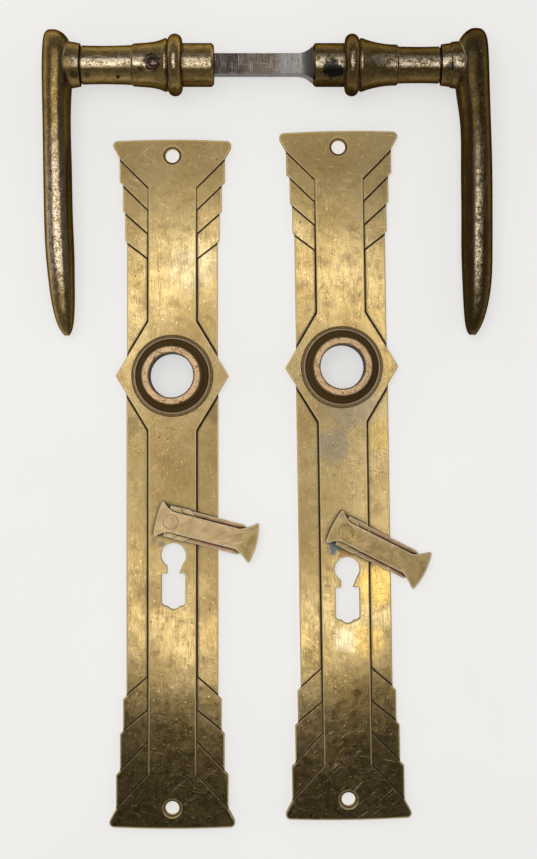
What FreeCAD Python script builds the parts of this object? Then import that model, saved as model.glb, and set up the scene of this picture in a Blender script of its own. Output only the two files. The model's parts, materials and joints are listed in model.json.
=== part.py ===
import FreeCAD, Part
import math
import os
from FreeCAD import Vector

# A dismantled set of lever handle furniture for a door, laid flat, in millimetres.
# The origin is on the table under the middle of the set, +Z is up, +Y runs from
# the lower ends of the plates to the handles, and both plates lie on their backs.

# ---- the plates, each measured from its own spindle centre ----
PLATE_THICKNESS = 3.2
SIDE_BAND_THICKNESS = 1.8
SPINDLE_TO_TOP = 94.7
SPINDLE_TO_BOTTOM = 181.6
CENTRE_BAND_HALF = 9.55
BAND_WALL_RUN = 0.55
PANEL_WALL_RUN = 0.62
DIAMOND_WALL_RUN = 0.75
DIAMOND_TIP_HALF = 22.7
DIAMOND_HALF_HEIGHT = 21.8
TOP_BODY_HALF = 18.2
BOTTOM_BODY_HALF = 18.45
TOP_FLARE_HALF = 24.9
BOTTOM_FLARE_HALF = 26.4
FLARE_CORNER_DROP = 0.7
FLARE_CORNER_RADIUS = 1.9

# one chevron per row, end first: outer edge half width beyond it, distance of its
# outer end from the plate's end, distance of its inner end from the plate's end
TOP_CHEVRONS = ((21.1, 7.6, 19.1), (19.8, 18.1, 28.1), (18.95, 29.3, 37.6), (TOP_BODY_HALF, 41.0, 47.6))
BOTTOM_CHEVRONS = ((22.55, 7.8, 21.7), (21.0, 22.9, 34.8), (19.8, 39.0, 47.4), (BOTTOM_BODY_HALF, 53.0, 60.8))

SCREW_HOLE_RADIUS = 2.75
COUNTERSINK_RADIUS = 3.75
COUNTERSINK_DEPTH = 1.0
TOP_SCREW_INSET = 6.3
BOTTOM_SCREW_INSET = 8.1

# ---- the guide collar and its liner ----
COLLAR_FOOT_RADIUS = 16.45
COLLAR_SPIGOT_RADIUS = 13.0
BUSH_OUTER_RADIUS = 11.65
BUSH_BORE_RADIUS = 8.8
BUSH_HEIGHT = 12.4
BUSH_MOUTH_CHAMFER = 0.5

# ---- the keyhole, measured from the middle of its round part ----
KEY_CIRCLE_RADIUS = 5.0
KEY_SLOT_HALF = 4.75
KEY_SLOT_TOP = -7.2
KEY_SLOT_BOTTOM = -19.9
KEY_POINT = -21.7

# ---- the swinging keyhole cover, measured from its pivot along its length ----
COVER_BOTTOM = 3.8
COVER_LEVELS = {"strip": 5.0, "inner_panel": 5.3, "outer_panel": 5.6, "bar": 6.2}
COVER_BAR_HALF = 4.2
COVER_STRIP_HALF = 6.15
COVER_NEAR_HALF = 8.6
COVER_FAR_HALF = 8.75
COVER_FAR_END = 34.2
COVER_NEAR_END = -5.2
COVER_CORNER_RADIUS = 0.75
RIVET_RADIUS = 2.0
RIVET_HEAD_RADIUS = 2.95
RIVET_CLEARANCE = 0.05
RIVET_HEAD_DEPTH = 0.95
WASHER_OUTER_RADIUS = 4.6
WASHER_THICKNESS = 0.5

# ---- where each plate lies: spindle centre and turn in degrees, then how far below the spindle
# centre the keyhole and the cover's pivot are, how far each is off centre, and the cover's turn ----
PLATES = {
    "left": {"x": -38.4, "y": 22.4, "turn": 0.0, "key": 72.0, "key_side": 0.5,
             "pivot": 58.4, "pivot_side": -0.4, "cover": -14.4},
    "right": {"x": 29.6, "y": 25.9, "turn": 0.9, "key": 81.1, "key_side": 0.9,
              "pivot": 66.0, "pivot_side": 0.5, "cover": -26.9},
}

# ---- the handles, turned about one axis along X ----
HANDLE_AXIS_Y = 145.0
BEAD_RADIUS = 12.15
HANDLE_TILT = 3.25
JOURNAL_RADIUS = 8.5
JOURNAL_LENGTH = 12.6
CORE_RADIUS = 6.6
BEAD_WIDTH = 5.5
SEAM = 0.25
SPINDLE_SIDE = 8.0
SPINDLE_SLOT_SIDE = 8.16
SPINDLE_DEPTH = 34.0
SPINDLE_POCKET = 11.0
SHOULDER_LENGTH = 6.3
SHOULDER_HALF = 6.6
SHOULDER_CORNER_RADIUS = 8.4
GRUB_RADIUS = 2.1
GRUB_CLEARANCE = 0.05
GRUB_SINK = 1.7
GRUB_TIP_GAP = 0.3
GRUB_SLOT_WIDTH = 0.7
GRUB_SLOT_DEPTH = 0.8
GRUB_FROM_BEAD_FACE = 11.3
HEAD_SOCKET = 4.0
GRIP_SQUARENESS = 2.5

# lengths along the axis and radii of each lever's turned parts
LEVERS = {
    "left": {
        "side": -1, "journal_end": 21.4, "sleeve": 14.1, "sleeve_small": 8.3,
        "barrel": 20.1, "barrel_waist": 7.45, "barrel_end": 7.75, "collar": 4.9,
        # one row per section: distance below the axis, inner X, outer X, half height
        "grip": (
            (-13.6, 83.2, 87.0, 2.4), (-12.5, 81.1, 88.0, 5.0), (-10.0, 78.9, 88.7, 7.9),
            (-6.0, 77.8, 89.0, 9.8), (0.0, 77.4, 89.2, 10.5), (8.0, 77.8, 89.2, 10.4),
            (20.0, 78.3, 89.1, 9.3), (40.0, 78.0, 89.0, 8.6), (60.0, 77.7, 88.8, 8.3),
            (74.0, 77.2, 88.3, 7.9), (84.0, 77.1, 87.4, 7.3), (92.0, 77.1, 86.4, 6.5),
            (98.5, 77.3, 85.1, 5.5), (103.0, 77.8, 83.6, 4.3), (105.8, 78.7, 82.0, 2.7),
            (106.8, 79.4, 81.1, 1.5)),
    },
    "right": {
        "side": 1, "journal_end": 17.8, "sleeve": 15.3, "sleeve_small": 7.95,
        "barrel": 16.6, "barrel_waist": 7.05, "barrel_end": 7.2, "collar": 6.6,
        "grip": (
            (-14.1, 80.1, 83.7, 2.4), (-13.0, 78.2, 85.2, 5.0), (-10.2, 75.8, 86.4, 7.7),
            (-6.0, 74.4, 86.9, 9.6), (0.0, 74.0, 87.2, 10.4), (8.0, 74.3, 87.5, 10.3),
            (20.0, 76.0, 88.0, 9.3), (40.0, 76.7, 88.8, 8.6), (60.0, 77.0, 89.1, 8.3),
            (74.0, 77.1, 89.2, 7.9), (84.0, 77.5, 89.0, 7.3), (92.0, 77.9, 88.1, 6.5),
            (98.0, 78.3, 86.8, 5.5), (102.8, 78.9, 85.1, 4.3), (105.6, 79.8, 83.5, 2.8),
            (106.5, 80.5, 82.8, 1.7)),
    },
}

OVERSHOOT = 1.0
ORIGIN = Vector(0, 0, 0)
UP = Vector(0, 0, 1)
ALONG = Vector(1, 0, 0)


# ---------------------------------------------------------------- small helpers
def save(shape, node):
    """Write one node, after making sure that it is sound."""
    if not shape.isValid() or shape.Volume <= 0:
        raise ValueError(f"{node} isn't a sound solid")
    shape.exportStep(f"parts/{node}.step")
    print(f"{node}: {len(shape.Solids)} solid, {shape.Volume:.1f} mm3")


def flat_face(start, steps, height=0.0):
    """A flat face. Each step is an (x, y) end point, or a (middle, end) pair for an arc."""
    def at(point):
        return Vector(point[0], point[1], height)
    edges = []
    here = at(start)
    for step in list(steps) + [start]:
        if isinstance(step[0], tuple):
            there = at(step[1])
            edges.append(Part.Arc(here, at(step[0]), there).toShape())
        else:
            there = at(step)
            if there.distanceToPoint(here) < 1e-6:
                continue
            edges.append(Part.LineSegment(here, there).toShape())
        here = there
    return Part.Face(Part.Wire(edges))


def slab(face, low, high):
    """The face, drawn at height 0, made solid between two heights."""
    lifted = face.copy()
    lifted.translate(UP * low)
    return lifted.extrude(UP * (high - low))


def crossing(first, second):
    """Where two lines cross, each given as a point and a direction."""
    (px, py), (ux, uy) = first
    (qx, qy), (vx, vy) = second
    share = ((qx - px) * vy - (qy - py) * vx) / (ux * vy - uy * vx)
    return (px + share * ux, py + share * uy)


def shifted(line, offset):
    """The line moved to its left by an offset."""
    (px, py), (ux, uy) = line
    length = math.hypot(ux, uy)
    return ((px - uy / length * offset, py + ux / length * offset), (ux, uy))


def turned(profile, axis_point=ORIGIN, axis=ALONG):
    """A turned solid from closed profile edges in a plane through the axis."""
    face = Part.Face(Part.Wire(Part.sortEdges(profile)[0]))
    solid = face.revolve(axis_point, axis, 360)
    return solid if solid.Volume > 0 else solid.reversed()


def lines(points):
    """Straight edges from point to point."""
    return [Part.LineSegment(a, b).toShape() for a, b in zip(points, points[1:])]


def smooth(points):
    """One smooth edge through the points."""
    curve = Part.BSplineCurve()
    curve.interpolate(points)
    return curve.toShape()


# ---------------------------------------------------------------- back plates
def mirrored(points):
    """The same points with X turned round, in reverse order."""
    return [(-x, y) for x, y in reversed(points)]


def end_outline(chevrons, end_y, direction, flare_half):
    """The right-hand outline of one end, from the body to the flare's corner."""
    points = []
    for index in range(len(chevrons) - 1, -1, -1):
        half, outer, inner = chevrons[index]
        wider = chevrons[index - 1][0] if index else flare_half
        points.append((half, end_y - direction * outer))
        if index:
            points.append((wider, end_y - direction * (outer - (wider - half))))
    points.append((flare_half, end_y - direction * FLARE_CORNER_DROP))
    return points


def plate_outline():
    """The whole outline: two flared ends with stepped sides, and a tip at each side."""
    top = end_outline(TOP_CHEVRONS, SPINDLE_TO_TOP, 1, TOP_FLARE_HALF)
    bottom = end_outline(BOTTOM_CHEVRONS, -SPINDLE_TO_BOTTOM, -1, BOTTOM_FLARE_HALF)
    slope = DIAMOND_HALF_HEIGHT / (DIAMOND_TIP_HALF - CENTRE_BAND_HALF)
    upper = (TOP_BODY_HALF, (DIAMOND_TIP_HALF - TOP_BODY_HALF) * slope)
    lower = (BOTTOM_BODY_HALF, -(DIAMOND_TIP_HALF - BOTTOM_BODY_HALF) * slope)
    right = bottom[::-1] + [lower, (DIAMOND_TIP_HALF, 0), upper] + top
    return flat_face(right[0], right[1:] + [((0, SPINDLE_TO_TOP), mirrored(right)[0])]
                     + mirrored(right)[1:] + [((0, -SPINDLE_TO_BOTTOM), right[0])])


def rounded_corners(plate):
    """Round the four corners of the flares."""
    corners = []
    for edge in plate.Edges:
        centre = edge.CenterOfMass
        upright = abs(edge.BoundBox.ZLength - PLATE_THICKNESS) < 1e-6
        at_top = centre.y > SPINDLE_TO_TOP - 3 and abs(centre.x) > TOP_FLARE_HALF - 0.1
        at_bottom = centre.y < 3 - SPINDLE_TO_BOTTOM and abs(centre.x) > BOTTOM_FLARE_HALF - 0.1
        if upright and (at_top or at_bottom):
            corners.append(edge)
    return plate.makeFillet(FLARE_CORNER_RADIUS, corners)


def sunk_panel(chevron, end_y, direction, side, floor, step):
    """What is cut away beyond one chevron, down to the diamond, with sloping walls.
    The step is how much lower the floor is than the one before it."""
    half, outer, inner = chevron
    tip = (side * DIAMOND_TIP_HALF, 0)
    shoulder = (side * CENTRE_BAND_HALF, direction * DIAMOND_HALF_HEIGHT)
    outer_end = (side * half, end_y - direction * outer)
    inner_end = (side * CENTRE_BAND_HALF, end_y - direction * inner)
    chevron_line = (outer_end, (inner_end[0] - outer_end[0], inner_end[1] - outer_end[1]))
    band_line = (inner_end, (0, shoulder[1] - inner_end[1]))
    diamond_line = (shoulder, (tip[0] - shoulder[0], tip[1] - shoulder[1]))
    outside_line = ((side * 40.0, 0), (0, direction))
    inwards = side * direction
    wires = []
    for height in (floor, PLATE_THICKNESS + OVERSHOOT):
        share = (PLATE_THICKNESS - height) / (PLATE_THICKNESS - SIDE_BAND_THICKNESS)
        runs = (PANEL_WALL_RUN * (floor + step - height) / step, BAND_WALL_RUN * share,
                DIAMOND_WALL_RUN * share, 0)
        walls = [shifted(line, inwards * run)
                 for line, run in zip((chevron_line, band_line, diamond_line, outside_line), runs)]
        corners = [crossing(walls[i], walls[(i + 1) % 4]) for i in range(4)]
        wires.append(Part.makePolygon([Vector(x, y, height) for x, y in corners + corners[:1]]))
    return Part.makeLoft(wires, True, True)


def keyhole_face():
    """Round head, narrow neck that leans on its right side, square slot and a point."""
    bow = 0.45
    head = Part.Face(Part.Wire(Part.makeCircle(KEY_CIRCLE_RADIUS)))
    neck = flat_face((-2.5, 0), [(4.95, -0.6), (2.0, KEY_SLOT_TOP - 0.5), (-2.5, KEY_SLOT_TOP - 0.5)])
    corner = 0.7
    slot = flat_face(
        (-KEY_SLOT_HALF, KEY_SLOT_TOP - corner),
        [((-KEY_SLOT_HALF + 0.2, KEY_SLOT_TOP - 0.2), (-KEY_SLOT_HALF + corner, KEY_SLOT_TOP)),
         (KEY_SLOT_HALF - corner, KEY_SLOT_TOP),
         ((KEY_SLOT_HALF - 0.2, KEY_SLOT_TOP - 0.2), (KEY_SLOT_HALF, KEY_SLOT_TOP - corner)),
         (KEY_SLOT_HALF, KEY_SLOT_BOTTOM + corner),
         ((KEY_SLOT_HALF - 0.5, KEY_SLOT_BOTTOM), (KEY_SLOT_HALF / 2, KEY_SLOT_BOTTOM - bow)),
         ((0, KEY_POINT), (-KEY_SLOT_HALF / 2, KEY_SLOT_BOTTOM - bow)),
         ((-KEY_SLOT_HALF + 0.5, KEY_SLOT_BOTTOM), (-KEY_SLOT_HALF, KEY_SLOT_BOTTOM + corner))])
    return head.fuse([neck, slot]).removeSplitter()


def screw_hole(y):
    """A countersunk screw hole, as the solid that is cut away."""
    shank = Part.makeCylinder(SCREW_HOLE_RADIUS, PLATE_THICKNESS + 2 * OVERSHOOT, Vector(0, y, -OVERSHOOT))
    slope = (COUNTERSINK_RADIUS - SCREW_HOLE_RADIUS) / COUNTERSINK_DEPTH
    sink = Part.makeCone(SCREW_HOLE_RADIUS, COUNTERSINK_RADIUS + slope * OVERSHOOT,
                         COUNTERSINK_DEPTH + OVERSHOOT, Vector(0, y, PLATE_THICKNESS - COUNTERSINK_DEPTH))
    return shank.fuse(sink)


def back_plate(lay):
    """A back plate about its spindle centre."""
    plate = rounded_corners(slab(plate_outline(), 0, PLATE_THICKNESS))
    step = (PLATE_THICKNESS - SIDE_BAND_THICKNESS) / len(TOP_CHEVRONS)
    ends = ((TOP_CHEVRONS, SPINDLE_TO_TOP, 1), (BOTTOM_CHEVRONS, -SPINDLE_TO_BOTTOM, -1))
    for chevrons, end_y, direction in ends:
        for side in (-1, 1):
            for index, chevron in enumerate(chevrons):
                floor = PLATE_THICKNESS - step * (index + 1)
                plate = plate.cut(sunk_panel(chevron, end_y, direction, side, floor, step))
    keyhole = slab(keyhole_face(), -OVERSHOOT, PLATE_THICKNESS + OVERSHOOT)
    keyhole.translate(Vector(lay["key_side"], -lay["key"], 0))
    through = PLATE_THICKNESS + 2 * OVERSHOOT
    collar_hole = Part.makeCylinder(COLLAR_SPIGOT_RADIUS, through, Vector(0, 0, -OVERSHOOT))
    rivet_hole = Part.makeCylinder(RIVET_RADIUS, through,
                                   Vector(lay["pivot_side"], -lay["pivot"], -OVERSHOOT))
    holes = [screw_hole(SPINDLE_TO_TOP - TOP_SCREW_INSET),
             screw_hole(BOTTOM_SCREW_INSET - SPINDLE_TO_BOTTOM), collar_hole, rivet_hole, keyhole]
    return plate.cut(holes)


# ---------------------------------------------------------------- guide collar
def upright(radius, height):
    """A point of a profile turned about Z."""
    return Vector(radius, 0, height)


def handle_collar():
    """A raised collar: rounded foot, thin rim, flat sunk floor, and a thin neck up round the bush."""
    face = PLATE_THICKNESS
    foot = upright(COLLAR_FOOT_RADIUS, face)
    rim_out = upright(15.15, face + 1.7)
    rim_in = upright(14.75, face + 1.7)
    floor = face + 0.8
    neck_top = upright(BUSH_OUTER_RADIUS + 0.35, BUSH_HEIGHT - 1.6)
    inside = upright(BUSH_OUTER_RADIUS, BUSH_HEIGHT - 1.6)
    profile = [Part.Arc(foot, upright(15.45, face + 0.75), rim_out).toShape(),
               Part.Arc(rim_out, upright(14.95, face + 1.85), rim_in).toShape()]
    profile += lines([rim_in, upright(14.35, floor), upright(BUSH_OUTER_RADIUS + 0.6, floor), neck_top])
    profile += lines([neck_top, inside, upright(BUSH_OUTER_RADIUS, 0), upright(COLLAR_SPIGOT_RADIUS, 0),
                      upright(COLLAR_SPIGOT_RADIUS, face), foot])
    return turned(profile, ORIGIN, UP)


def collar_bush():
    """The liner that the lever's journal turns in."""
    mouth = BUSH_BORE_RADIUS + BUSH_MOUTH_CHAMFER
    edge = 0.35
    outline = [upright(BUSH_BORE_RADIUS, 0), upright(BUSH_OUTER_RADIUS, 0),
               upright(BUSH_OUTER_RADIUS, BUSH_HEIGHT - edge), upright(BUSH_OUTER_RADIUS - edge, BUSH_HEIGHT),
               upright(mouth, BUSH_HEIGHT), upright(BUSH_BORE_RADIUS, BUSH_HEIGHT - BUSH_MOUTH_CHAMFER),
               upright(BUSH_BORE_RADIUS, 0)]
    return turned(lines(outline), ORIGIN, UP)


# ---------------------------------------------------------------- keyhole cover
def keyhole_cover():
    """The cover along +X from its pivot: a raised bar with flared ends on a wider strip."""
    bar_half = COVER_BAR_HALF
    near = COVER_NEAR_END
    near_half = COVER_NEAR_HALF
    far = COVER_FAR_END
    far_half = COVER_FAR_HALF
    bar_start = 0.6
    bar_end = 27.4
    bar = slab(flat_face((near, near_half), [
        ((near - 0.8, 0), (near, -near_half)), ((-3.0, -5.7), (bar_start, -bar_half)), (bar_end, -bar_half),
        ((30.0, -5.4), (far, -far_half)), ((far + 1.3, 0), (far, far_half)),
        ((30.0, 5.4), (bar_end, bar_half)), (bar_start, bar_half), ((-3.0, 5.7), (near, near_half))]),
        COVER_BOTTOM, COVER_LEVELS["bar"])
    corners = [edge for edge in bar.Edges
               if edge.BoundBox.ZLength > 1 and abs(edge.CenterOfMass.y) > near_half - 0.1]
    bar = bar.makeFillet(COVER_CORNER_RADIUS, corners)
    strip_half = COVER_STRIP_HALF
    strip = slab(flat_face((-1.6, -strip_half), [
        (27.6, -strip_half), ((29.4, -5.7), (30.2, -4.6)), (30.2, 4.6), ((29.4, 5.7), (27.6, strip_half)),
        (-1.6, strip_half)]), COVER_BOTTOM, COVER_LEVELS["strip"])
    pieces = [strip]
    for side in (-1, 1):
        panels = (("outer_panel", 2.4, 3.8, 6.3), ("inner_panel", 6.6, 9.2, 6.45))
        for level, outer_end, inner_end, half in panels:
            pieces.append(slab(flat_face((-1.6, 0), [
                (inner_end, 0), (inner_end, side * bar_half), (outer_end, side * half), (-1.6, side * half)]),
                COVER_BOTTOM, COVER_LEVELS[level]))
    cover = bar.fuse(pieces).removeSplitter()
    top = COVER_LEVELS["bar"]
    shank = Part.makeCylinder(RIVET_RADIUS + RIVET_CLEARANCE, top, ORIGIN)
    sink = Part.makeCone(RIVET_RADIUS + RIVET_CLEARANCE, RIVET_HEAD_RADIUS + RIVET_CLEARANCE,
                         RIVET_HEAD_DEPTH, Vector(0, 0, top - RIVET_HEAD_DEPTH))
    return cover.cut([shank, sink])


def cover_rivet():
    """The rivet that the cover turns on, with a flush head."""
    top = COVER_LEVELS["bar"]
    lift = 0.05
    shank = Part.makeCylinder(RIVET_RADIUS, top - RIVET_HEAD_DEPTH + lift, ORIGIN)
    head = Part.makeCone(RIVET_RADIUS, RIVET_HEAD_RADIUS, RIVET_HEAD_DEPTH - lift,
                         Vector(0, 0, top - RIVET_HEAD_DEPTH + lift))
    return shank.fuse(head).removeSplitter()


def cover_washer():
    """The thin washer between plate and cover."""
    ring = Part.makeCylinder(WASHER_OUTER_RADIUS, WASHER_THICKNESS, UP * PLATE_THICKNESS)
    return ring.cut(Part.makeCylinder(RIVET_RADIUS + RIVET_CLEARANCE, WASHER_THICKNESS + 2 * OVERSHOOT,
                                      UP * (PLATE_THICKNESS - OVERSHOOT)))


# ---------------------------------------------------------------- handles
def on_axis(x, radius):
    """A point of a profile turned about the handle axis."""
    return Vector(x, radius, 0)


def lever_stations(lever):
    """Distances from the middle of the set to each part of a lever, along the axis."""
    journal = lever["journal_end"]
    bead = journal + JOURNAL_LENGTH
    sleeve = bead + BEAD_WIDTH
    barrel = sleeve + lever["sleeve"]
    collar = barrel + lever["barrel"]
    head = collar + lever["collar"]
    return journal, bead, sleeve, barrel, collar, head


def square_bar(start, end, side):
    """A square bar along the axis."""
    return Part.makeBox(end - start, side, side, Vector(start, -side / 2, -side / 2))


def journal(lever):
    """The bearing tube, with the thinner core that carries bead and sleeve."""
    start, bead, sleeve, barrel, collar, head = lever_stations(lever)
    edge = 0.9
    outline = [on_axis(start, 0), on_axis(start, JOURNAL_RADIUS - edge),
               on_axis(start + edge, JOURNAL_RADIUS), on_axis(bead, JOURNAL_RADIUS),
               on_axis(bead, CORE_RADIUS), on_axis(barrel, CORE_RADIUS),
               on_axis(barrel, 0), on_axis(start, 0)]
    return turned(lines(outline)).cut(square_bar(start - OVERSHOOT, barrel + OVERSHOOT, SPINDLE_SLOT_SIDE))


def bead_ring(lever):
    """The rounded ring that meets the plate's bush."""
    start, bead, sleeve, barrel, collar, head = lever_stations(lever)
    low = JOURNAL_RADIUS + 1.6
    middle = (bead + sleeve) / 2
    crown = on_axis(middle - 0.2, BEAD_RADIUS)
    profile = [Part.Arc(on_axis(bead, low), crown, on_axis(sleeve, low)).toShape()]
    profile += lines([on_axis(sleeve, low), on_axis(sleeve, CORE_RADIUS), on_axis(bead, CORE_RADIUS),
                      on_axis(bead, low)])
    return turned(profile)


def flared_sleeve(lever):
    """The trumpet between bead and barrel."""
    start, bead, sleeve, barrel, collar, head = lever_stations(lever)
    small = lever["sleeve_small"]
    length = lever["sleeve"]
    wide = 10.4
    end = barrel - 0.5
    curve = [on_axis(sleeve + 1.2, wide), on_axis(sleeve + 0.3 * length, wide - 1.1),
             on_axis(sleeve + 0.62 * length, small + 0.35), on_axis(end, small)]
    profile = [smooth(curve)]
    profile += lines([on_axis(end, small), on_axis(barrel, small - 0.4), on_axis(barrel, CORE_RADIUS),
                      on_axis(sleeve, CORE_RADIUS), on_axis(sleeve, wide - 0.45),
                      on_axis(sleeve + SEAM, wide - 0.45), on_axis(sleeve + 0.5, wide), curve[0]])
    return turned(profile)


def neck(lever):
    """The waisted barrel and the stepped collar, with a stub that enters the grip's head."""
    start, bead, sleeve, barrel, collar, head = lever_stations(lever)
    waist = lever["barrel_waist"]
    end = lever["barrel_end"]
    curve = [on_axis(barrel, end), on_axis((barrel + collar) / 2, waist), on_axis(collar - 0.4, waist + 0.15)]
    groove = waist - 0.35
    step = waist + 1.0
    wide = 9.2
    profile = [smooth(curve)]
    profile += lines([curve[-1], on_axis(collar - 0.1, groove), on_axis(collar + 0.3, groove),
                      on_axis(collar + 0.55, step), on_axis(collar + 0.62 * lever["collar"], step + 0.45),
                      on_axis(collar + 0.68 * lever["collar"], wide - 0.25), on_axis(head, wide),
                      on_axis(head + HEAD_SOCKET, wide), on_axis(head + HEAD_SOCKET, 0),
                      on_axis(barrel, 0), curve[0]])
    pocket = square_bar(barrel - OVERSHOOT, barrel + SPINDLE_POCKET, SPINDLE_SLOT_SIDE)
    return turned(profile).cut(pocket)


def grip_section(below, inner, outer, half_height):
    """One closed section of a grip: an oval with softly squared sides."""
    count = 16
    middle = (inner + outer) / 2
    half = (outer - inner) / 2
    points = []
    for index in range(count):
        angle = 2 * math.pi * index / count
        across = math.cos(angle)
        up = math.sin(angle)
        reach = (abs(across) ** GRIP_SQUARENESS + abs(up) ** GRIP_SQUARENESS) ** (-1 / GRIP_SQUARENESS)
        points.append(Vector(middle + half * reach * across, -below, half_height * reach * up))
    curve = Part.BSplineCurve()
    curve.interpolate(points, True)
    return Part.Wire(curve.toShape())


def grip(lever):
    """The grip: domed head, long bar with soft flats, and a tip that curves inwards."""
    wires = [grip_section(*row) for row in lever["grip"]]
    solid = Part.makeLoft(wires, True, False)
    return solid if solid.Volume > 0 else solid.reversed()


def spindle():
    """The square spindle, with the forged shoulder that seats in the right journal."""
    left_depth = -LEVERS["left"]["journal_end"] - SPINDLE_DEPTH
    right_face = LEVERS["right"]["journal_end"]
    bar = square_bar(left_depth, right_face + SPINDLE_DEPTH, SPINDLE_SIDE)
    wires = []
    for step in range(9):
        share = step / 8
        half = SPINDLE_SIDE / 2 + (SHOULDER_HALF - SPINDLE_SIDE / 2) * share ** 2.2
        x = right_face - SHOULDER_LENGTH * (1 - share)
        corners = [(-half, -half), (half, -half), (half, half), (-half, half), (-half, -half)]
        wires.append(Part.makePolygon([Vector(x, y, z) for y, z in corners]))
    round_bar = Part.makeCylinder(SHOULDER_CORNER_RADIUS, SHOULDER_LENGTH,
                                  Vector(right_face - SHOULDER_LENGTH, 0, 0), ALONG)
    shoulder = Part.makeLoft(wires, True, True).common(round_bar)
    return bar.fuse(shoulder).removeSplitter()


def grub_position():
    """Where the left lever's fixing screw crosses the axis."""
    return -(LEVERS["left"]["journal_end"] + JOURNAL_LENGTH + GRUB_FROM_BEAD_FACE)


def grub_hole():
    """The hole for the fixing screw, square to the spindle's upper face."""
    return Part.makeCylinder(GRUB_RADIUS + GRUB_CLEARANCE, BEAD_RADIUS, Vector(grub_position(), 0, 0))


def grub_screw():
    """The slotted fixing screw, sunk below the sleeve."""
    low = SPINDLE_SIDE / 2 + GRUB_TIP_GAP
    high = 9.1 - GRUB_SINK
    x = grub_position()
    body = Part.makeCylinder(GRUB_RADIUS, high - low, Vector(x, 0, low))
    tip = [edge for edge in body.Edges if abs(edge.CenterOfMass.z - low) < 1e-6]
    body = body.makeChamfer(0.5, tip)
    slot = Part.makeBox(2 * GRUB_RADIUS + 1, GRUB_SLOT_WIDTH, GRUB_SLOT_DEPTH,
                        Vector(x - GRUB_RADIUS - 0.5, -GRUB_SLOT_WIDTH / 2, high - GRUB_SLOT_DEPTH))
    return body.cut(slot)


def lever_parts(name):
    """Every piece of one lever, about the handle axis."""
    lever = LEVERS[name]
    pieces = {"journal": journal(lever), "bead_ring": bead_ring(lever),
              "flared_sleeve": flared_sleeve(lever), "neck": neck(lever), "grip": grip(lever)}
    pieces["grip"] = pieces["grip"].cut(pieces["neck"])
    if lever["side"] < 0:
        pieces = {key: piece.mirror(ORIGIN, ALONG) for key, piece in pieces.items()}
        for key in ("journal", "flared_sleeve"):
            pieces[key] = pieces[key].cut(grub_hole())
        pieces["grub_screw"] = grub_screw()
    return pieces


def laid_down(piece):
    """Tilt a handle piece until the grips rest on the table, and move it into place."""
    piece.rotate(ORIGIN, ALONG, HANDLE_TILT)
    piece.translate(Vector(0, HANDLE_AXIS_Y, BEAD_RADIUS))
    return piece


# ---------------------------------------------------------------- the whole set
def main():
    os.makedirs("parts", exist_ok=True)
    for name, lay in PLATES.items():
        place = Vector(lay["x"], lay["y"], 0)
        down = FreeCAD.Rotation(UP, lay["turn"]).multVec(Vector(lay["pivot_side"], -lay["pivot"], 0))
        pivot = place + down
        fixed = {"back_plate": back_plate(lay),
                 "handle_collar": handle_collar(), "collar_bush": collar_bush()}
        for node, piece in fixed.items():
            piece.rotate(ORIGIN, UP, lay["turn"])
            piece.translate(place)
            save(piece, f"{name}_{node}")
        for node, piece in (("keyhole_cover", keyhole_cover()), ("cover_rivet", cover_rivet()),
                            ("cover_washer", cover_washer())):
            piece.rotate(ORIGIN, UP, lay["cover"])
            piece.translate(pivot)
            save(piece, f"{name}_{node}")
        print(f"{name} cover pivot at {pivot.x:.3f}, {pivot.y:.3f}")
    for name in LEVERS:
        for node, piece in lever_parts(name).items():
            save(laid_down(piece), f"{name}_{node}")
    save(laid_down(spindle()), "spindle")


main()
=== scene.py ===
import json
import math
import bpy
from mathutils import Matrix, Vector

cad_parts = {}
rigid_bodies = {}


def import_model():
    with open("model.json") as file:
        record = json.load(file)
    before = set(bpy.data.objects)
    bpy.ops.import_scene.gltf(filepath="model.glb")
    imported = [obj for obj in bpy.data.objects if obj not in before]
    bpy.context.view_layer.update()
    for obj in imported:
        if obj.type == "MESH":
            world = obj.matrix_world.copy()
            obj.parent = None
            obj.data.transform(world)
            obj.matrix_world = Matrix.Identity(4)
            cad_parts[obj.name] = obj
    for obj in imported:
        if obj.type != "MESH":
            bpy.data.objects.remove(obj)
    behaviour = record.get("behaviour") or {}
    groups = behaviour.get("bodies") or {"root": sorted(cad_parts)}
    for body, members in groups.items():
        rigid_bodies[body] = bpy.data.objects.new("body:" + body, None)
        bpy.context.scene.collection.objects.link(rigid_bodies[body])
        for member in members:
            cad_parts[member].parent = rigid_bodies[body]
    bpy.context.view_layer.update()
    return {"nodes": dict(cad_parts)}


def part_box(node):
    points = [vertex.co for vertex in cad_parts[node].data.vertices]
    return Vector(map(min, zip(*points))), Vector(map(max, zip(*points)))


# The laid-out lever handle set, seen straight from above on a pale table.
# Lengths in the materials are in millimetres. Everything else is in metres.
MM = 1000.0

for leftover in list(bpy.data.objects):
    bpy.data.objects.remove(leftover)
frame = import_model()
NODES = frame["nodes"]


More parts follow.
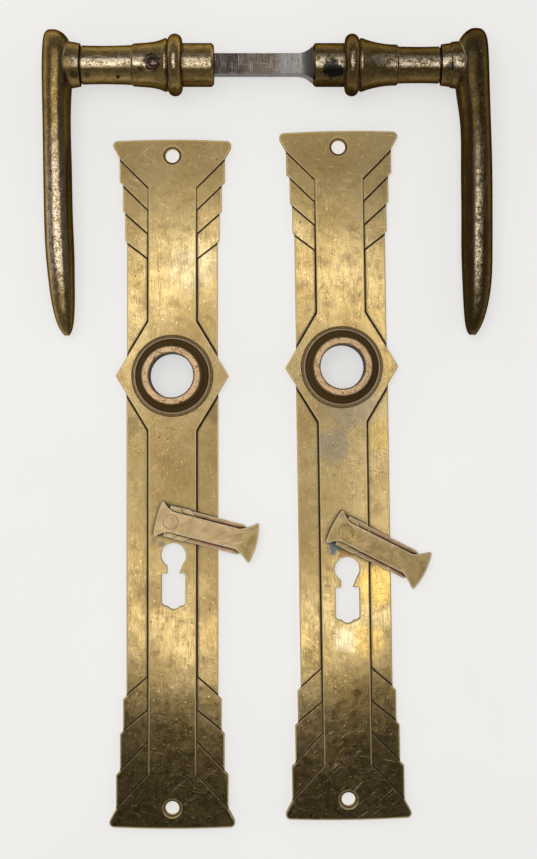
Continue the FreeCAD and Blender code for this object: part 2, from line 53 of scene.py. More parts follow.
# ---------------------------------------------------------------- node graphs
class Graph:
    """A material's node graph, built from the coordinates outwards."""

    def __init__(self, name):
        self.material = bpy.data.materials.new(name)
        self.material.use_nodes = True
        self.tree = self.material.node_tree
        self.tree.nodes.clear()
        place = self.tree.nodes.new("ShaderNodeTexCoord")
        self.normal = place.outputs["Normal"]
        self.position = self.vector_math("SCALE", place.outputs["Object"], scale=MM)
        self.xyz = self.parts(self.position)

    def node(self, kind, inputs=None, **settings):
        made = self.tree.nodes.new(kind)
        for key, value in settings.items():
            setattr(made, key, value)
        for key, value in (inputs or {}).items():
            self.feed(made.inputs[key], value)
        return made

    def feed(self, socket, value):
        if isinstance(value, bpy.types.NodeSocket):
            self.tree.links.new(value, socket)
        elif isinstance(value, (tuple, list)) and len(value) == 3 and len(socket.default_value) == 4:
            socket.default_value = (*value, 1.0)
        else:
            socket.default_value = value

    def math(self, operation, first, second=0.0, clamp=False):
        made = self.node("ShaderNodeMath", {0: first, 1: second}, operation=operation)
        made.use_clamp = clamp
        return made.outputs[0]

    def vector_math(self, operation, first, second=None, scale=None):
        made = self.node("ShaderNodeVectorMath", {0: first}, operation=operation)
        if second is not None:
            self.feed(made.inputs[1], second)
        if scale is not None:
            self.feed(made.inputs["Scale"], scale)
        return made.outputs["Value" if operation in ("DISTANCE", "LENGTH", "DOT_PRODUCT") else "Vector"]

    def parts(self, vector):
        return self.node("ShaderNodeSeparateXYZ", {0: vector}).outputs

    def remap(self, value, low, high, to_low=0.0, to_high=1.0, smooth=False):
        made = self.node("ShaderNodeMapRange", {"Value": value, "From Min": low, "From Max": high,
                                                "To Min": to_low, "To Max": to_high})
        made.interpolation_type = "SMOOTHSTEP" if smooth else "LINEAR"
        made.clamp = True
        return made.outputs["Result"]

    def noise(self, scale, detail=4.0, roughness=0.55, distortion=0.0, vector=None, offset=0.0):
        where = vector or self.position
        if offset:
            where = self.vector_math("ADD", where, (offset, offset * 0.7, offset * 1.3))
        made = self.node("ShaderNodeTexNoise", {"Vector": where, "Scale": scale, "Detail": detail,
                                                "Roughness": roughness, "Distortion": distortion})
        return made.outputs["Fac"]

    def stretched(self, turn, along, across):
        """Coordinates turned about Z, then scaled along and across."""
        turned = self.node("ShaderNodeVectorRotate", {"Vector": self.position, "Angle": math.radians(turn)})
        turned.rotation_type = "Z_AXIS"
        return self.vector_math("MULTIPLY", turned.outputs[0], (along, across, across))

    def scratches(self, turn, along=0.045, across=3.2, low=0.66, high=0.72, offset=0.0):
        """Thin straight marks in one direction."""
        lines = self.noise(1.0, 2.0, 0.5, vector=self.stretched(turn, along, across), offset=offset)
        return self.remap(lines, low, high)

    def pits(self, scale, size, share, offset=0.0):
        """Round specks, in a share of the cells."""
        where = self.vector_math("ADD", self.position, (offset, offset, offset))
        cells = self.node("ShaderNodeTexVoronoi", {"Vector": where, "Scale": scale})
        near = self.remap(cells.outputs["Distance"], size * scale, size * scale * 0.5)
        chosen = self.math("GREATER_THAN", self.parts(cells.outputs["Color"])[0], 1.0 - share)
        return self.math("MULTIPLY", near, chosen)

    def spot(self, centre, radius, soft=0.5, ragged=0.5, scale=0.25):
        """A ragged stain round a point."""
        away = self.vector_math("DISTANCE", self.position, centre)
        uneven = self.math("SUBTRACT", self.noise(scale, 4.0, 0.6), 0.5)
        wobble = self.math("MULTIPLY", uneven, radius * ragged * 2)
        return self.remap(self.math("ADD", away, wobble), radius, radius * (1 - soft), smooth=True)

    def mix(self, factor, first, second):
        made = self.node("ShaderNodeMix", data_type="RGBA", blend_type="MIX")
        self.feed(made.inputs[0], factor)
        self.feed(made.inputs[6], first)
        self.feed(made.inputs[7], second)
        return made.outputs[2]

    def blend_values(self, factor, first, second):
        made = self.node("ShaderNodeMix", data_type="FLOAT")
        self.feed(made.inputs[0], factor)
        self.feed(made.inputs[2], first)
        self.feed(made.inputs[3], second)
        return made.outputs[0]

    def occlusion(self, distance_mm, inside=False, samples=8):
        """0 where open, 1 in a corner (or near a convex edge, when looking inside)."""
        made = self.node("ShaderNodeAmbientOcclusion", {"Distance": distance_mm / MM}, inside=inside,
                         samples=samples)
        return self.math("SUBTRACT", 1.0, made.outputs["AO"])

    def product(self, *values):
        result = values[0]
        for value in values[1:]:
            result = self.math("MULTIPLY", result, value)
        return result

    def bump(self, height, distance_mm, strength=1.0, normal=None):
        made = self.node("ShaderNodeBump", {"Height": height, "Distance": distance_mm / MM,
                                            "Strength": strength})
        if normal is not None:
            self.feed(made.inputs["Normal"], normal)
        return made.outputs["Normal"]

    def rounded(self, radius_mm):
        return self.node("ShaderNodeBevel", {"Radius": radius_mm / MM}, samples=6).outputs["Normal"]

    def finish(self, colour, roughness, normal=None, metallic=1.0, glow=0.0, rim_tint=None):
        shader = self.node("ShaderNodeBsdfPrincipled", {"Base Color": colour, "Roughness": roughness,
                                                        "Metallic": metallic})
        if rim_tint:
            self.feed(shader.inputs["Specular Tint"], rim_tint)
        if glow:
            self.feed(shader.inputs["Emission Color"], colour)
            shader.inputs["Emission Strength"].default_value = glow
        if normal is not None:
            self.feed(shader.inputs["Normal"], normal)
        out = self.node("ShaderNodeOutputMaterial")
        self.tree.links.new(shader.outputs[0], out.inputs["Surface"])
        return self.material


# ---------------------------------------------------------------- materials
GOLD = (0.50, 0.36, 0.14)
OLIVE = (0.28, 0.20, 0.08)
BROWN = (0.115, 0.070, 0.026)
DARK = (0.030, 0.018, 0.009)
BLUE_GREY = (0.11, 0.16, 0.19)

# the plates' screw holes: middles, radius of the painted highlight on the rim and of the countersink
HOLE_RIM = 3.75
HOLE_SINK = 4.2
SCREW_HOLES = (
    (-38.4, 110.8, 2.5), (-38.4, -151.1, 2.5), (28.21, 114.29, 2.5), (32.33, -147.58, 2.5),
)
# stains on the plates: middle, radius, colour, strength
STAINS = (
    ((33, 12, 3), 15, (0.32, 0.28, 0.21), 0.60), ((26, -6, 3), 9, (0.28, 0.26, 0.21), 0.55),
    ((46, -2, 3), 8, (0.66, 0.45, 0.12), 0.45), ((45, -62, 3), 11, (0.86, 0.56, 0.14), 0.65),
    ((40, -84, 3), 9, (0.86, 0.58, 0.17), 0.55), ((31, -84, 3), 6, (0.95, 0.80, 0.55), 0.5),
    ((-30, 66, 3), 12, (0.66, 0.56, 0.36), 0.35), ((-47, -66, 3), 9, (0.24, 0.17, 0.075), 0.45),
    ((26.5, -46.5, 3), 3.6, BLUE_GREY, 0.95), ((31.5, -48, 3), 4.6, (0.30, 0.15, 0.07), 0.75),
    ((-42.5, -45, 3), 1.8, BLUE_GREY, 0.6), ((-45.8, -43.5, 3), 1.3, BLUE_GREY, 0.5),
    ((-19, 8, 3), 7, (0.22, 0.13, 0.055), 0.55), ((-56, 2, 3), 6, (0.24, 0.17, 0.08), 0.45),
    ((-24, -70, 3), 8, (0.28, 0.20, 0.09), 0.4), ((10, -40, 3), 12, (0.36, 0.24, 0.10), 0.4),
)
# specks on the fixing screw: middle, radius, colour
SCREW_SPECKS = (
    ((-45.1, 144.3, 19.3), 1.1, (0.62, 0.36, 0.30)),
    ((-43.9, 144.4, 19.3), 0.6, (0.80, 0.80, 0.78)),
)
# black spots on the levers: middle, radius, strength
BLACK_SPOTS = (
    ((25.5, 141.3, 20), 5.0, 0.95), ((71, 142.8, 21), 2.2, 0.8), ((-58.8, 139.2, 17), 1.1, 0.95),
    ((-76, 140.0, 18.5), 1.9, 0.7), ((-71, 140.0, 17.5), 1.7, 0.6), ((-45.6, 144.5, 21.2), 4.0, 0.95),
    ((-49.5, 142.0, 20.5), 1.6, 0.6),
)
RAGGED_BELOW = 6
RIVETS = ((-38.8, -36.0, 6.2), (31.14, -40.08, 6.2))
# distances from the middle of the set: end of the barrels, start of the grips, centre line of the grips
BARREL_END = 76
GRIP_START = 79
GRIP_LINE = 83.0
# radii on a collar: the foot, the rim's painted highlight and the sunk floor
FOOT_RADIUS = 15.7
RIM_RADIUS = 14.95
FLOOR_RADIUS = 14.5


def plate_brass():
    """Worn golden brass: mottled, scratched, tarnished in the steps, stained in places."""
    g = Graph("plate_brass")
    cloud = g.noise(0.035, 5.0, 0.6)
    patch = g.noise(0.16, 8.0, 0.68, 0.1, offset=31)
    grain = g.noise(1.6, 5.0, 0.75, offset=11)
    speckle = g.noise(3.2, 3.0, 0.7, offset=71)
    brushed = g.noise(1.0, 4.0, 0.65, vector=g.vector_math("MULTIPLY", g.position, (3.4, 0.16, 1.0)))
    colour = g.mix(g.remap(cloud, 0.38, 0.62), (0.47, 0.33, 0.125), (0.62, 0.465, 0.215))
    colour = g.mix(g.product(g.remap(patch, 0.50, 0.66), 0.55), colour, (0.30, 0.195, 0.075))
    colour = g.mix(g.product(g.remap(grain, 0.52, 0.68), 0.50), colour, (0.24, 0.16, 0.062))
    colour = g.mix(g.product(g.remap(speckle, 0.54, 0.68), 0.50), colour, (0.82, 0.66, 0.38))
    colour = g.mix(g.product(g.remap(brushed, 0.54, 0.68), 0.38), colour, (0.22, 0.145, 0.055))
    # the lower ends are browner and streaked
    ragged = g.math("ADD", g.math("MULTIPLY", g.math("SUBTRACT", patch, 0.5), 34),
                    g.math("MULTIPLY", g.math("SUBTRACT", brushed, 0.5), 30))
    low_end = g.remap(g.math("ADD", g.xyz[1], ragged), -84, -132, smooth=True)
    colour = g.mix(g.product(low_end, 0.60), colour, (0.135, 0.088, 0.034))
    mottled = g.product(low_end, g.remap(g.noise(0.5, 6.0, 0.72, offset=23), 0.46, 0.60))
    colour = g.mix(g.product(mottled, 0.62), colour, (0.050, 0.038, 0.016))
    # painted glints: bright specks scattered over the lower ends
    sparkle = g.product(low_end, g.remap(g.noise(2.0, 4.0, 0.75, offset=57), 0.60, 0.67))
    colour = g.mix(g.product(sparkle, 0.7), colour, (0.90, 0.74, 0.42))
    high_end = g.remap(g.math("ADD", g.xyz[1], ragged), 72, 112, smooth=True)
    colour = g.mix(g.product(high_end, 0.30), colour, (0.30, 0.205, 0.08))
    for centre, radius, tint, amount in STAINS:
        if radius < RAGGED_BELOW:
            stain = g.spot(centre, radius, 0.6, 1.1, 0.8)
        else:
            stain = g.spot(centre, radius)
        colour = g.mix(g.product(stain, amount), colour, tint)
    # painted shade on the sloping walls, in corners and as a contact shadow round nearby parts; painted
    # highlight on the convex edges and on the outer side of each hole's rim
    facing = g.parts(g.normal)[2]
    wall = g.product(g.remap(facing, 0.985, 0.93), g.remap(facing, -0.2, 0.05))
    for hole in SCREW_HOLES:
        sink = g.remap(g.vector_math("DISTANCE", g.position, hole), HOLE_SINK + 0.4, HOLE_SINK)
        wall = g.product(wall, g.math("SUBTRACT", 1.0, g.product(sink, 0.75)))
    # painted shade in concave corners, and a wider painted contact shadow round parts standing close
    corner = g.remap(g.occlusion(1.0), 0.08, 0.35)
    nearby = g.product(g.remap(g.occlusion(3.2), 0.16, 0.55), 0.70)
    painted_shade = g.math("MAXIMUM", g.product(wall, 0.97), g.math("MAXIMUM", g.product(corner, 0.88), nearby))
    painted_shade = g.product(painted_shade, g.remap(g.noise(0.55, 3.0, 0.6, offset=5), 0.25, 0.45, 0.72, 1.0))
    # painted highlight along the convex edges, made less metallic below so it shows bright
    edge = g.remap(g.occlusion(0.65, inside=True, samples=12), 0.02, 0.16)
    edge = g.product(edge, g.remap(grain, 0.34, 0.54, 0.35, 1.0), g.math("SUBTRACT", 1.0, wall))
    # painted highlight on the outer side of each screw hole's rim
    for hole in SCREW_HOLES:
        from_rim = g.math("SUBTRACT", g.vector_math("DISTANCE", g.position, hole), HOLE_RIM)
        outwards = g.product(g.math("SUBTRACT", g.xyz[1], hole[1]), math.copysign(1.0, hole[1]))
        rim = g.product(g.remap(g.math("ABSOLUTE", from_rim), 0.5, 0.15), g.remap(outwards, 0.5, 2.2))
        edge = g.math("MAXIMUM", edge, g.product(rim, 0.8))
    marks = g.math("ADD", g.scratches(12, 0.14, 3.4, 0.68, 0.74, offset=3),
                   g.scratches(-38, 0.10, 3.2, 0.68, 0.74, offset=17), clamp=True)
    marks = g.math("ADD", marks, g.scratches(81, 0.07, 3.2, 0.66, 0.73, offset=29), clamp=True)
    colour = g.mix(g.product(marks, 0.32), colour, (0.80, 0.66, 0.40))
    colour = g.mix(g.product(g.scratches(55, low=0.69, high=0.75, offset=47), 0.5), colour, BROWN)
    colour = g.mix(g.product(g.pits(0.30, 0.42, 0.20), 0.9), colour, DARK)
    colour = g.mix(g.product(g.pits(0.55, 0.26, 0.30, offset=9), 0.85), colour, (0.95, 0.86, 0.62))
    colour = g.mix(painted_shade, colour, (0.022, 0.012, 0.007))
    colour = g.mix(edge, colour, (1.0, 0.76, 0.36))
    roughness = g.remap(patch, 0.3, 0.7, 0.11, 0.23)
    roughness = g.blend_values(edge, roughness, 0.42)
    roughness = g.math("ADD", roughness, g.product(painted_shade, 0.35))
    roughness = g.math("ADD", roughness, g.product(g.math("SUBTRACT", brushed, 0.5), 0.25))
    relief = g.math("ADD", g.product(grain, 0.30), g.product(g.noise(0.07, 2.0, offset=61), 2.2))
    relief = g.math("ADD", relief, g.product(brushed, 0.28))
    relief = g.math("SUBTRACT", relief, g.product(marks, 0.3))
    metal = g.math("SUBTRACT", 1.0, g.math("MAXIMUM", g.product(painted_shade, 0.8), g.product(edge, 0.55)))
    return g.finish(colour, roughness, g.bump(relief, 0.06, 0.6, g.rounded(0.36)), metallic=metal)


def handle_brass(name, side, base, dark, wear_and_highlight_tint, roughness, grip_wear_and_highlight, wear_and_highlight_half_width, shade):
    """Olive brown brass of a lever, bare where the hand rubs and along the top of the barrel, with a painted
    highlight laid into those patches and painted shade on the flanks and in creases.
    """
    g = Graph(name)
    cloud = g.noise(0.07, 5.0, 0.6, 0.3, offset=3)
    patch = g.noise(0.25, 8.0, 0.7, 0.5, offset=43)
    grain = g.noise(1.5, 5.0, 0.75, offset=7)
    blots = g.noise(0.5, 5.0, 0.7, 0.6, offset=91)
    colour = g.mix(g.remap(cloud, 0.36, 0.66), tuple(0.75 * value for value in base), base)
    colour = g.mix(g.product(g.remap(patch, 0.48, 0.66), 0.75), colour, dark)
    colour = g.mix(g.product(g.remap(grain, 0.48, 0.68), 0.55), colour, tuple(0.55 * value for value in dark))
    # ragged patches of bare brass with a painted highlight laid in, on the upward-facing top of the turned
    # parts and down the grip
    facing = g.parts(g.normal)[2]
    away = g.math("ABSOLUTE", g.xyz[0])
    inwards = g.product(g.parts(g.normal)[0], -side)
    on_barrel = g.product(g.remap(away, GRIP_START, BARREL_END), g.remap(facing, 0.93, 0.985))
    along = g.math("ADD", g.xyz[1], g.math("MULTIPLY", g.math("SUBTRACT", patch, 0.5), 60))
    off_line = g.math("ABSOLUTE", g.math("SUBTRACT", away, GRIP_LINE))
    on_grip = g.product(g.remap(away, BARREL_END, GRIP_START), g.remap(facing, 0.60, 0.88),
                        g.remap(along, 126, 92), g.remap(along, 52, 66), grip_wear_and_highlight,
                        g.remap(off_line, wear_and_highlight_half_width, 0.6 * wear_and_highlight_half_width))
    wear_and_highlight = g.math("MAXIMUM", on_barrel, on_grip)
    blotchy = g.math("ADD", g.product(blots, 0.6), g.product(grain, 0.4))
    wear_and_highlight = g.product(wear_and_highlight, g.remap(blotchy, 0.43, 0.53))
    colour = g.mix(g.product(wear_and_highlight, 0.92), colour, wear_and_highlight_tint)
    marks = g.math("ADD", g.scratches(7, low=0.66, high=0.72, offset=5),
                   g.scratches(64, low=0.68, high=0.74, offset=23), clamp=True)
    marks = g.math("ADD", marks, g.scratches(95, 0.08, 2.6, 0.65, 0.71, offset=37), clamp=True)
    colour = g.mix(g.product(marks, 0.4), colour, wear_and_highlight_tint)
    colour = g.mix(g.product(g.pits(0.4, 0.30, 0.35, offset=2), 0.85), colour, DARK)
    for centre, radius, amount in BLACK_SPOTS:
        black = g.product(g.spot(centre, radius, 0.35, 0.7, 0.5), amount)
        colour = g.mix(black, colour, (0.018, 0.020, 0.018))
    # painted shade on the steep sides, on the grips' inner sides and, on a shaded lever, all over the grip
    inner_side = g.product(g.remap(away, BARREL_END, GRIP_START), g.remap(inwards, 0.15, 0.55))
    flank = g.math("MAXIMUM", g.remap(facing, 0.60, 0.15), inner_side)
    colour = g.mix(g.product(flank, 0.75), colour, (0.070, 0.050, 0.026))
    shaded = g.product(g.remap(away, BARREL_END, GRIP_START), g.math("SUBTRACT", 1.0, wear_and_highlight), shade)
    colour = g.mix(shaded, colour, (0.060, 0.040, 0.018))
    # painted shade in creases between the parts; painted highlight along the convex edges
    painted_shade = g.product(g.remap(g.occlusion(1.8), 0.10, 0.45), 0.95)
    edge = g.product(g.remap(g.occlusion(0.7, inside=True), 0.22, 0.55),
                     g.remap(grain, 0.38, 0.58, 0.15, 1.0))
    colour = g.mix(painted_shade, colour, (0.014, 0.012, 0.007))
    colour = g.mix(g.product(edge, 0.8), colour, (0.85, 0.70, 0.46))
    rough = g.math("ADD", g.remap(patch, 0.3, 0.7, roughness, roughness + 0.14), g.product(painted_shade, 0.25))
    rough = g.math("SUBTRACT", rough, g.product(wear_and_highlight, 0.08))
    rough = g.math("ADD", rough, g.remap(facing, 0.5, 0.1, 0.0, 0.25))
    relief = g.math("ADD", g.product(grain, 0.45), g.product(g.noise(0.12, 3.0, offset=19), 4.0))
    relief = g.math("ADD", relief, g.product(blots, 1.1))
    relief = g.math("SUBTRACT", relief, g.product(marks, 0.4))
    return g.finish(colour, rough, g.bump(relief, 0.10, 0.75, g.rounded(0.2)), rim_tint=(0.13, 0.095, 0.055))


def collar_brass(name, centre):
    """The collar round the spindle hole: a foot painted lighter on its slope as painted light, a painted
    shadow round it, a painted highlight along the rim, and a dark brown sunk floor.
    """
    g = Graph(name)
    flat = g.vector_math("MULTIPLY", g.position, (1, 1, 0))
    away = g.vector_math("DISTANCE", flat, (centre[0], centre[1], 0))
    grain = g.noise(1.4, 4.0, 0.7)
    patch = g.noise(0.3, 5.0, 0.6, offset=13)
    gold = g.mix(g.remap(patch, 0.35, 0.7), GOLD, OLIVE)
    # painted light: the sloping foot is painted lighter than the gold round it
    foot = g.mix(g.remap(away, FOOT_RADIUS + 0.7, FOOT_RADIUS), gold, (0.66, 0.44, 0.21))
    foot = g.mix(g.product(g.remap(grain, 0.48, 0.62), 0.75), foot, (0.10, 0.058, 0.024))
    shadow = g.product(g.remap(away, FOOT_RADIUS + 0.45, FOOT_RADIUS + 0.7), 0.7)
    foot = g.mix(shadow, foot, (0.045, 0.026, 0.012))
    hollow = g.mix(g.product(g.remap(grain, 0.45, 0.75), 0.4), (0.165, 0.092, 0.012), (0.20, 0.12, 0.03))
    inside = g.remap(away, FLOOR_RADIUS + 0.25, FLOOR_RADIUS)
    colour = g.mix(inside, foot, hollow)
    # painted highlight along the crest of the rim
    rim = g.product(g.remap(g.math("ABSOLUTE", g.math("SUBTRACT", away, RIM_RADIUS)), 0.42, 0.16),
                    g.remap(patch, 0.25, 0.5, 0.5, 1.0))
    colour = g.mix(rim, colour, (1.0, 0.84, 0.60))
    colour = g.mix(g.product(g.pits(0.5, 0.34, 0.35), 0.8), colour, DARK)
    roughness = g.blend_values(inside, g.remap(patch, 0.3, 0.7, 0.34, 0.5), 0.7)
    metal = g.blend_values(inside, g.blend_values(rim, 0.45, 0.75), 0.0)
    return g.finish(colour, roughness, g.bump(grain, 0.05, 0.5, g.rounded(0.2)), metallic=metal)


def liner_bronze():
    """The liner: scratched pinkish gold on top; its sides and bore painted near black as painted shade."""
    g = Graph("liner_bronze")
    facing = g.parts(g.normal)[2]
    top = g.remap(facing, 0.25, 0.75)
    grain = g.noise(1.3, 5.0, 0.7)
    patch = g.noise(0.35, 4.0, 0.6, 0.5, offset=8)
    colour = g.mix(g.remap(patch, 0.3, 0.7), (0.66, 0.42, 0.22), (0.84, 0.62, 0.36))
    marks = g.math("ADD", g.scratches(20, 0.15, 2.6, 0.6, 0.68),
                   g.scratches(-62, 0.12, 2.8, 0.62, 0.7, offset=4), clamp=True)
    colour = g.mix(g.product(marks, 0.6), colour, (0.26, 0.15, 0.08))
    colour = g.mix(g.product(g.remap(grain, 0.55, 0.75), 0.5), colour, (0.30, 0.17, 0.09))
    specks = g.remap(g.noise(2.4, 3.0, 0.7, offset=51), 0.54, 0.64)
    colour = g.mix(g.product(specks, 0.55), colour, (0.30, 0.18, 0.09))
    black = g.remap(g.noise(1.0, 5.0, 0.75, offset=77), 0.57, 0.61)
    colour = g.mix(g.product(black, 0.9), colour, DARK)
    # painted highlight along the top's convex edges
    edge = g.product(g.remap(g.occlusion(0.6, inside=True), 0.2, 0.5),
                     g.remap(patch, 0.3, 0.6, 0.4, 1.0), top)
    colour = g.mix(g.product(edge, 0.8), colour, (1.0, 0.84, 0.60))
    # painted shade: every face that does not face up is painted near black
    wall = g.mix(g.remap(grain, 0.4, 0.7), (0.012, 0.009, 0.007), (0.04, 0.025, 0.014))
    colour = g.mix(top, wall, colour)
    roughness = g.blend_values(top, 0.8, g.remap(patch, 0.3, 0.7, 0.26, 0.4))
    relief = g.math("ADD", grain, g.product(marks, -0.6))
    return g.finish(colour, roughness, g.bump(relief, 0.06, 0.6, g.rounded(0.2)), metallic=top)


def cover_brass():
    """Dull olive brass on the raised bar, copper brown on the lower strips."""
    g = Graph("cover_brass")
    grain = g.noise(1.5, 5.0, 0.7)
    patch = g.noise(0.28, 5.0, 0.6, 0.4, offset=15)
    colour = g.mix(g.remap(patch, 0.32, 0.68), (0.60, 0.44, 0.21), (0.43, 0.30, 0.125))
    colour = g.mix(g.product(g.remap(grain, 0.5, 0.75), 0.45), colour, (0.20, 0.13, 0.055))
    colour = g.mix(g.remap(g.xyz[0], -15, -10), g.mix(0.35, colour, (0.86, 0.62, 0.38)), colour)
    colour = g.mix(g.product(g.spot((33.6, -42.4, 6), 2.2, 0.7, 0.9, 0.6), 0.6), colour, (0.85, 0.64, 0.20))
    strip = g.remap(g.xyz[2], 5.20, 5.05)
    reddish = g.mix(g.remap(patch, 0.3, 0.7), (0.56, 0.34, 0.20), (0.36, 0.20, 0.11))
    colour = g.mix(strip, colour, reddish)
    marks = g.math("ADD", g.scratches(-14, offset=2),
                   g.scratches(-70, low=0.67, high=0.73, offset=6), clamp=True)
    colour = g.mix(g.product(marks, 0.5), colour, (0.74, 0.60, 0.34))
    colour = g.mix(g.product(g.pits(0.5, 0.28, 0.3), 0.7), colour, DARK)
    # painted shade in the low corners beside the raised bar and on the steep sides, less on the rivets
    corner = g.remap(g.occlusion(1.3), 0.12, 0.34)
    facing = g.parts(g.normal)[2]
    low = g.remap(g.xyz[2], 6.05, 5.85)
    on_rivets = [g.remap(g.vector_math("DISTANCE", g.position, rivet), 3.9, 3.5) for rivet in RIVETS]
    rivet = g.math("MAXIMUM", *on_rivets)
    side = g.product(g.remap(facing, 0.9, 0.5), g.blend_values(rivet, 0.85, 0.35))
    painted_shade = g.math("MAXIMUM", g.product(corner, low, 0.97), side)
    colour = g.mix(painted_shade, colour, (0.018, 0.011, 0.007))
    # painted highlight along the convex edges, made less metallic below so it shows bright
    edge = g.product(g.remap(g.occlusion(0.9, inside=True), 0.08, 0.28),
                     g.remap(grain, 0.35, 0.58, 0.5, 1.0), g.math("SUBTRACT", 1.0, rivet))
    colour = g.mix(edge, colour, (1.0, 0.84, 0.52))
    roughness = g.math("ADD", g.remap(patch, 0.3, 0.7, 0.26, 0.40), g.product(painted_shade, 0.2))
    relief = g.math("SUBTRACT", grain, g.product(marks, 0.5))
    metal = g.math("SUBTRACT", 1.0, g.product(edge, 0.75))
    return g.finish(colour, roughness, g.bump(relief, 0.07, 0.6, g.rounded(0.2)), metallic=metal)


def spindle_steel():
    """The forged square bar: tarnished at the left, rusty in the middle, bare and filed at the right."""
    g = Graph("spindle_steel")
    grain = g.noise(1.2, 5.0, 0.7)
    patch = g.noise(0.4, 5.0, 0.65, 0.5, offset=21)
    place = g.math("ADD", g.xyz[0], g.math("MULTIPLY", g.math("SUBTRACT", patch, 0.5), 9))
    left = (0.095, 0.075, 0.070)
    colour = g.mix(g.remap(place, -12, -7), left, (0.23, 0.185, 0.145))
    colour = g.mix(g.remap(place, 2, 6), colour, (0.44, 0.43, 0.41))
    colour = g.mix(g.product(g.remap(grain, 0.5, 0.72), 0.55), colour, (0.16, 0.085, 0.045))
    filed = g.noise(1.0, 3.0, 0.6, vector=g.vector_math("MULTIPLY", g.position, (3.0, 0.12, 0.12)))
    lines = g.remap(filed, 0.55, 0.68)
    dark_lines = g.remap(filed, 0.42, 0.32)
    colour = g.mix(g.product(lines, 0.6), colour, (0.85, 0.80, 0.74))
    colour = g.mix(g.product(dark_lines, 0.55), colour, (0.075, 0.05, 0.04))
    marks = g.scratches(14, 0.2, 2.4, 0.62, 0.7)
    colour = g.mix(g.product(marks, 0.4), colour, (0.75, 0.70, 0.64))
    # painted highlight along the edges
    edge = g.product(g.remap(g.occlusion(0.5, inside=True), 0.2, 0.6), g.remap(grain, 0.4, 0.6))
    colour = g.mix(g.product(edge, 0.5), colour, (0.7, 0.66, 0.6))
    # painted shade on the downward sides and in corners, and darker from x = 12.5 to 17 mm onwards
    side = g.math("MAXIMUM", g.remap(g.parts(g.normal)[2], 0.7, 0.3),
                  g.product(g.remap(g.xyz[0], 12.5, 17.0), 0.8))
    painted_shade = g.math("MAXIMUM", g.remap(g.occlusion(2.0), 0.25, 0.7), side)
    colour = g.mix(g.product(painted_shade, 0.85), colour, (0.02, 0.014, 0.010))
    roughness = g.remap(patch, 0.3, 0.7, 0.30, 0.50)
    relief = g.math("ADD", g.product(filed, 1.0), g.product(grain, 0.5))
    return g.finish(colour, roughness, g.bump(relief, 0.10, 0.7, g.rounded(0.25)))


def rusty_steel(name, tint, rust, specks=()):
    """Small steel parts with rust in their pores, and here and there a brighter speck."""
    g = Graph(name)
    grain = g.noise(1.6, 5.0, 0.7)
    patch = g.noise(0.6, 4.0, 0.6, offset=3)
    colour = g.mix(g.remap(patch, 0.35, 0.65), tint, rust)
    colour = g.mix(g.product(g.remap(grain, 0.5, 0.7), 0.6), colour, (0.08, 0.04, 0.025))
    # painted highlight along the edges
    edge = g.remap(g.occlusion(0.4, inside=True), 0.2, 0.6)
    colour = g.mix(g.product(edge, 0.6), colour, (0.66, 0.60, 0.54))
    for centre, radius, bright in specks:
        colour = g.mix(g.spot(centre, radius, 0.5, 0.6, 0.8), colour, bright)
    roughness = g.remap(patch, 0.3, 0.7, 0.35, 0.55)
    return g.finish(colour, roughness, g.bump(grain, 0.08, 0.7, g.rounded(0.12)))


def table_top():
    """A plain pale surface with a very faint unevenness."""
    g = Graph("table_top")
    cloud = g.noise(0.01, 3.0)
    colour = g.mix(g.remap(cloud, 0.3, 0.7), (0.90, 0.90, 0.89), (0.93, 0.93, 0.92))
    return g.finish(colour, 0.75, g.bump(g.noise(0.8, 3.0), 0.02, 0.3), metallic=0.0, glow=0.60)


def middle(node):
    """The middle of a node's box, in millimetres."""
    low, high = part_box(node)
    return ((low + high) * MM / 2)[:]


FINISHES = {
    "back_plate": plate_brass(), "collar_bush": liner_bronze(), "keyhole_cover": cover_brass(),
    "cover_washer": rusty_steel("washer_steel", (0.30, 0.27, 0.24), (0.22, 0.10, 0.055)),
    # the grub screw's steel is near black, partly painted shade for the hole it sits deep in
    "grub_screw": rusty_steel("screw_steel", (0.030, 0.022, 0.018), (0.055, 0.030, 0.024), SCREW_SPECKS),
    "spindle": spindle_steel(),
}
FINISHES["cover_rivet"] = FINISHES["keyhole_cover"]
LEVER_PARTS = ("journal", "bead_ring", "flared_sleeve", "neck", "grip")
# the right lever is a darker copy of the same brass as painted shade, with more painted shade over its grip
# and its bright patches kept to a narrow line
LEVER_FINISHES = {
    "left": handle_brass("left_handle_brass", side=-1, base=(0.44, 0.30, 0.110), dark=(0.18, 0.11, 0.032),
                         wear_and_highlight_tint=(1.0, 0.84, 0.62), roughness=0.17, grip_wear_and_highlight=1.0, wear_and_highlight_half_width=7.0, shade=0.0),
    "right": handle_brass("right_handle_brass", side=1, base=(0.25, 0.165, 0.056), dark=(0.105, 0.064, 0.018),
                          wear_and_highlight_tint=(0.95, 0.80, 0.60), roughness=0.22, grip_wear_and_highlight=0.9, wear_and_highlight_half_width=1.9, shade=0.5),
}
for name, node in NODES.items():
    part = name.split("_", 1)[1] if "_" in name else name
    if part == "handle_collar":
        finish = collar_brass(f"{name}_brass", middle(name))
    elif part in LEVER_PARTS:
        finish = LEVER_FINISHES[name.split("_")[0]]
    else:
        finish = FINISHES[part]
    for place in node.material_slots:
        place.material = finish
    if not node.material_slots:
        node.data.materials.append(finish)


# ---------------------------------------------------------------- table
TABLE_HALF = 40.0
TABLE_HEIGHT = -0.0002
corners = [(x * TABLE_HALF, y * TABLE_HALF, TABLE_HEIGHT) for x, y in ((-1, -1), (1, -1), (1, 1), (-1, 1))]
sheet = bpy.data.meshes.new("table_top")
sheet.from_pydata(corners, [], [(0, 1, 2, 3)])
table = bpy.data.objects.new("table_top", sheet)
bpy.context.scene.collection.objects.link(table)
table.data.materials.append(table_top())

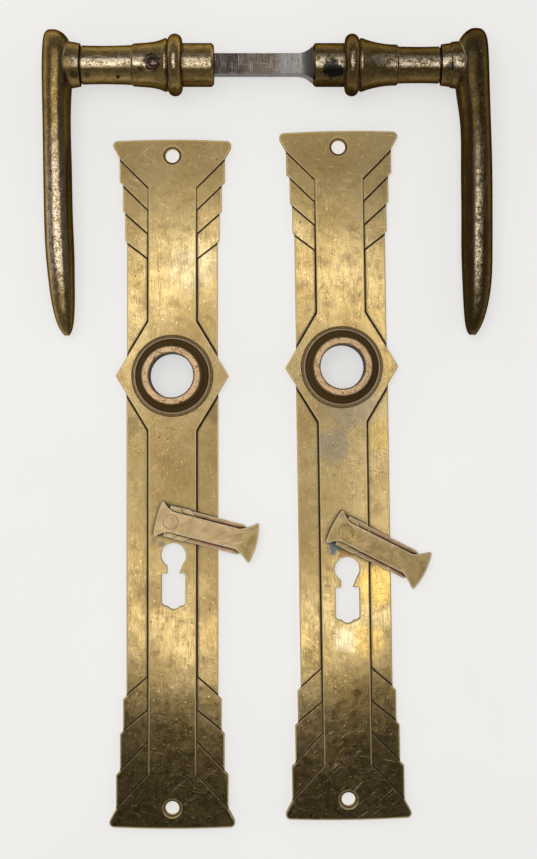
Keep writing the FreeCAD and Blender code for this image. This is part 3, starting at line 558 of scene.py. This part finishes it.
# ---------------------------------------------------------------- lights
# overhead soft panels: a dim one inside a ring of brighter ones, two towards the handles, one at the left
PANEL_HEIGHT = 0.93
DAYLIGHT = (1.0, 0.98, 0.95)
RING_RADIUS = 0.195
RING_WIDTH = 0.042
RING_COUNT = 16
RING_CENTRE = (-0.020, -0.022)
RING_RADIANCE = 4.0


def ceiling_light(name, left, right, near, far, radiance, turn=0.0):
    """A soft rectangle overhead, shining straight down."""
    data = bpy.data.lights.new(name, "AREA")
    data.shape = "RECTANGLE"
    data.size = right - left
    data.size_y = far - near
    data.energy = radiance * math.pi * ((right - left) * (far - near))
    data.color = DAYLIGHT
    made = bpy.data.objects.new(name, data)
    made.location = ((left + right) / 2, (near + far) / 2, PANEL_HEIGHT)
    made.rotation_euler = (0.0, 0.0, turn)
    bpy.context.scene.collection.objects.link(made)


ring_half = math.pi * RING_RADIUS / RING_COUNT
for index in range(RING_COUNT):
    angle = 2 * math.pi * index / RING_COUNT
    x = RING_CENTRE[0] + RING_RADIUS * math.cos(angle)
    y = RING_CENTRE[1] + RING_RADIUS * math.sin(angle)
    ceiling_light(f"ring_{index}", x - RING_WIDTH / 2, x + RING_WIDTH / 2, y - ring_half, y + ring_half,
                  RING_RADIANCE, angle)
ceiling_light("middle_panel", -0.170, 0.155, -0.190, 0.150, 0.54)
ceiling_light("near_far_panel", -0.40, 0.22, 0.205, 0.31, 0.36)
ceiling_light("far_panel", -0.40, 0.22, 0.31, 0.60, 0.85)
ceiling_light("left_panel", -0.44, -0.225, -0.02, 0.32, 1.9)

# ---------------------------------------------------------------- room
# pale at the horizon, dim overhead: lowest and highest upward part of a direction, and the light there
NEAR_HORIZON = (0.02, 0.16, 0.74, 0.28)
TOWARDS_TOP = (0.50, 0.85, 1.0, 0.34)
world = bpy.data.worlds.new("room")
bpy.context.scene.world = world
world.use_nodes = True
room = world.node_tree
direction = room.nodes.new("ShaderNodeTexCoord").outputs["Generated"]
split = room.nodes.new("ShaderNodeSeparateXYZ")
room.links.new(direction, split.inputs[0])
strength = room.nodes.new("ShaderNodeMath")
strength.operation = "MULTIPLY"
for index, limits in enumerate((NEAR_HORIZON, TOWARDS_TOP)):
    band = room.nodes.new("ShaderNodeMapRange")
    room.links.new(split.outputs["Z"], band.inputs["Value"])
    for socket, value in zip(("From Min", "From Max", "To Min", "To Max"), limits):
        band.inputs[socket].default_value = value
    room.links.new(band.outputs["Result"], strength.inputs[index])
room.nodes["Background"].inputs["Color"].default_value = (*DAYLIGHT, 1.0)
room.links.new(strength.outputs[0], room.nodes["Background"].inputs["Strength"])
bpy.context.scene.view_settings.view_transform = "Standard"

# ---------------------------------------------------------------- camera
CAMERA_PLACE = (0.0002, 0.0009, 0.650)
lens = bpy.data.cameras.new("camera")
lens.sensor_fit = "VERTICAL"
lens.sensor_height = 36.0
lens.lens = 67.6
lens.clip_start = 0.01
camera = bpy.data.objects.new("camera", lens)
camera.location = CAMERA_PLACE
bpy.context.scene.collection.objects.link(camera)
bpy.context.scene.camera = camera
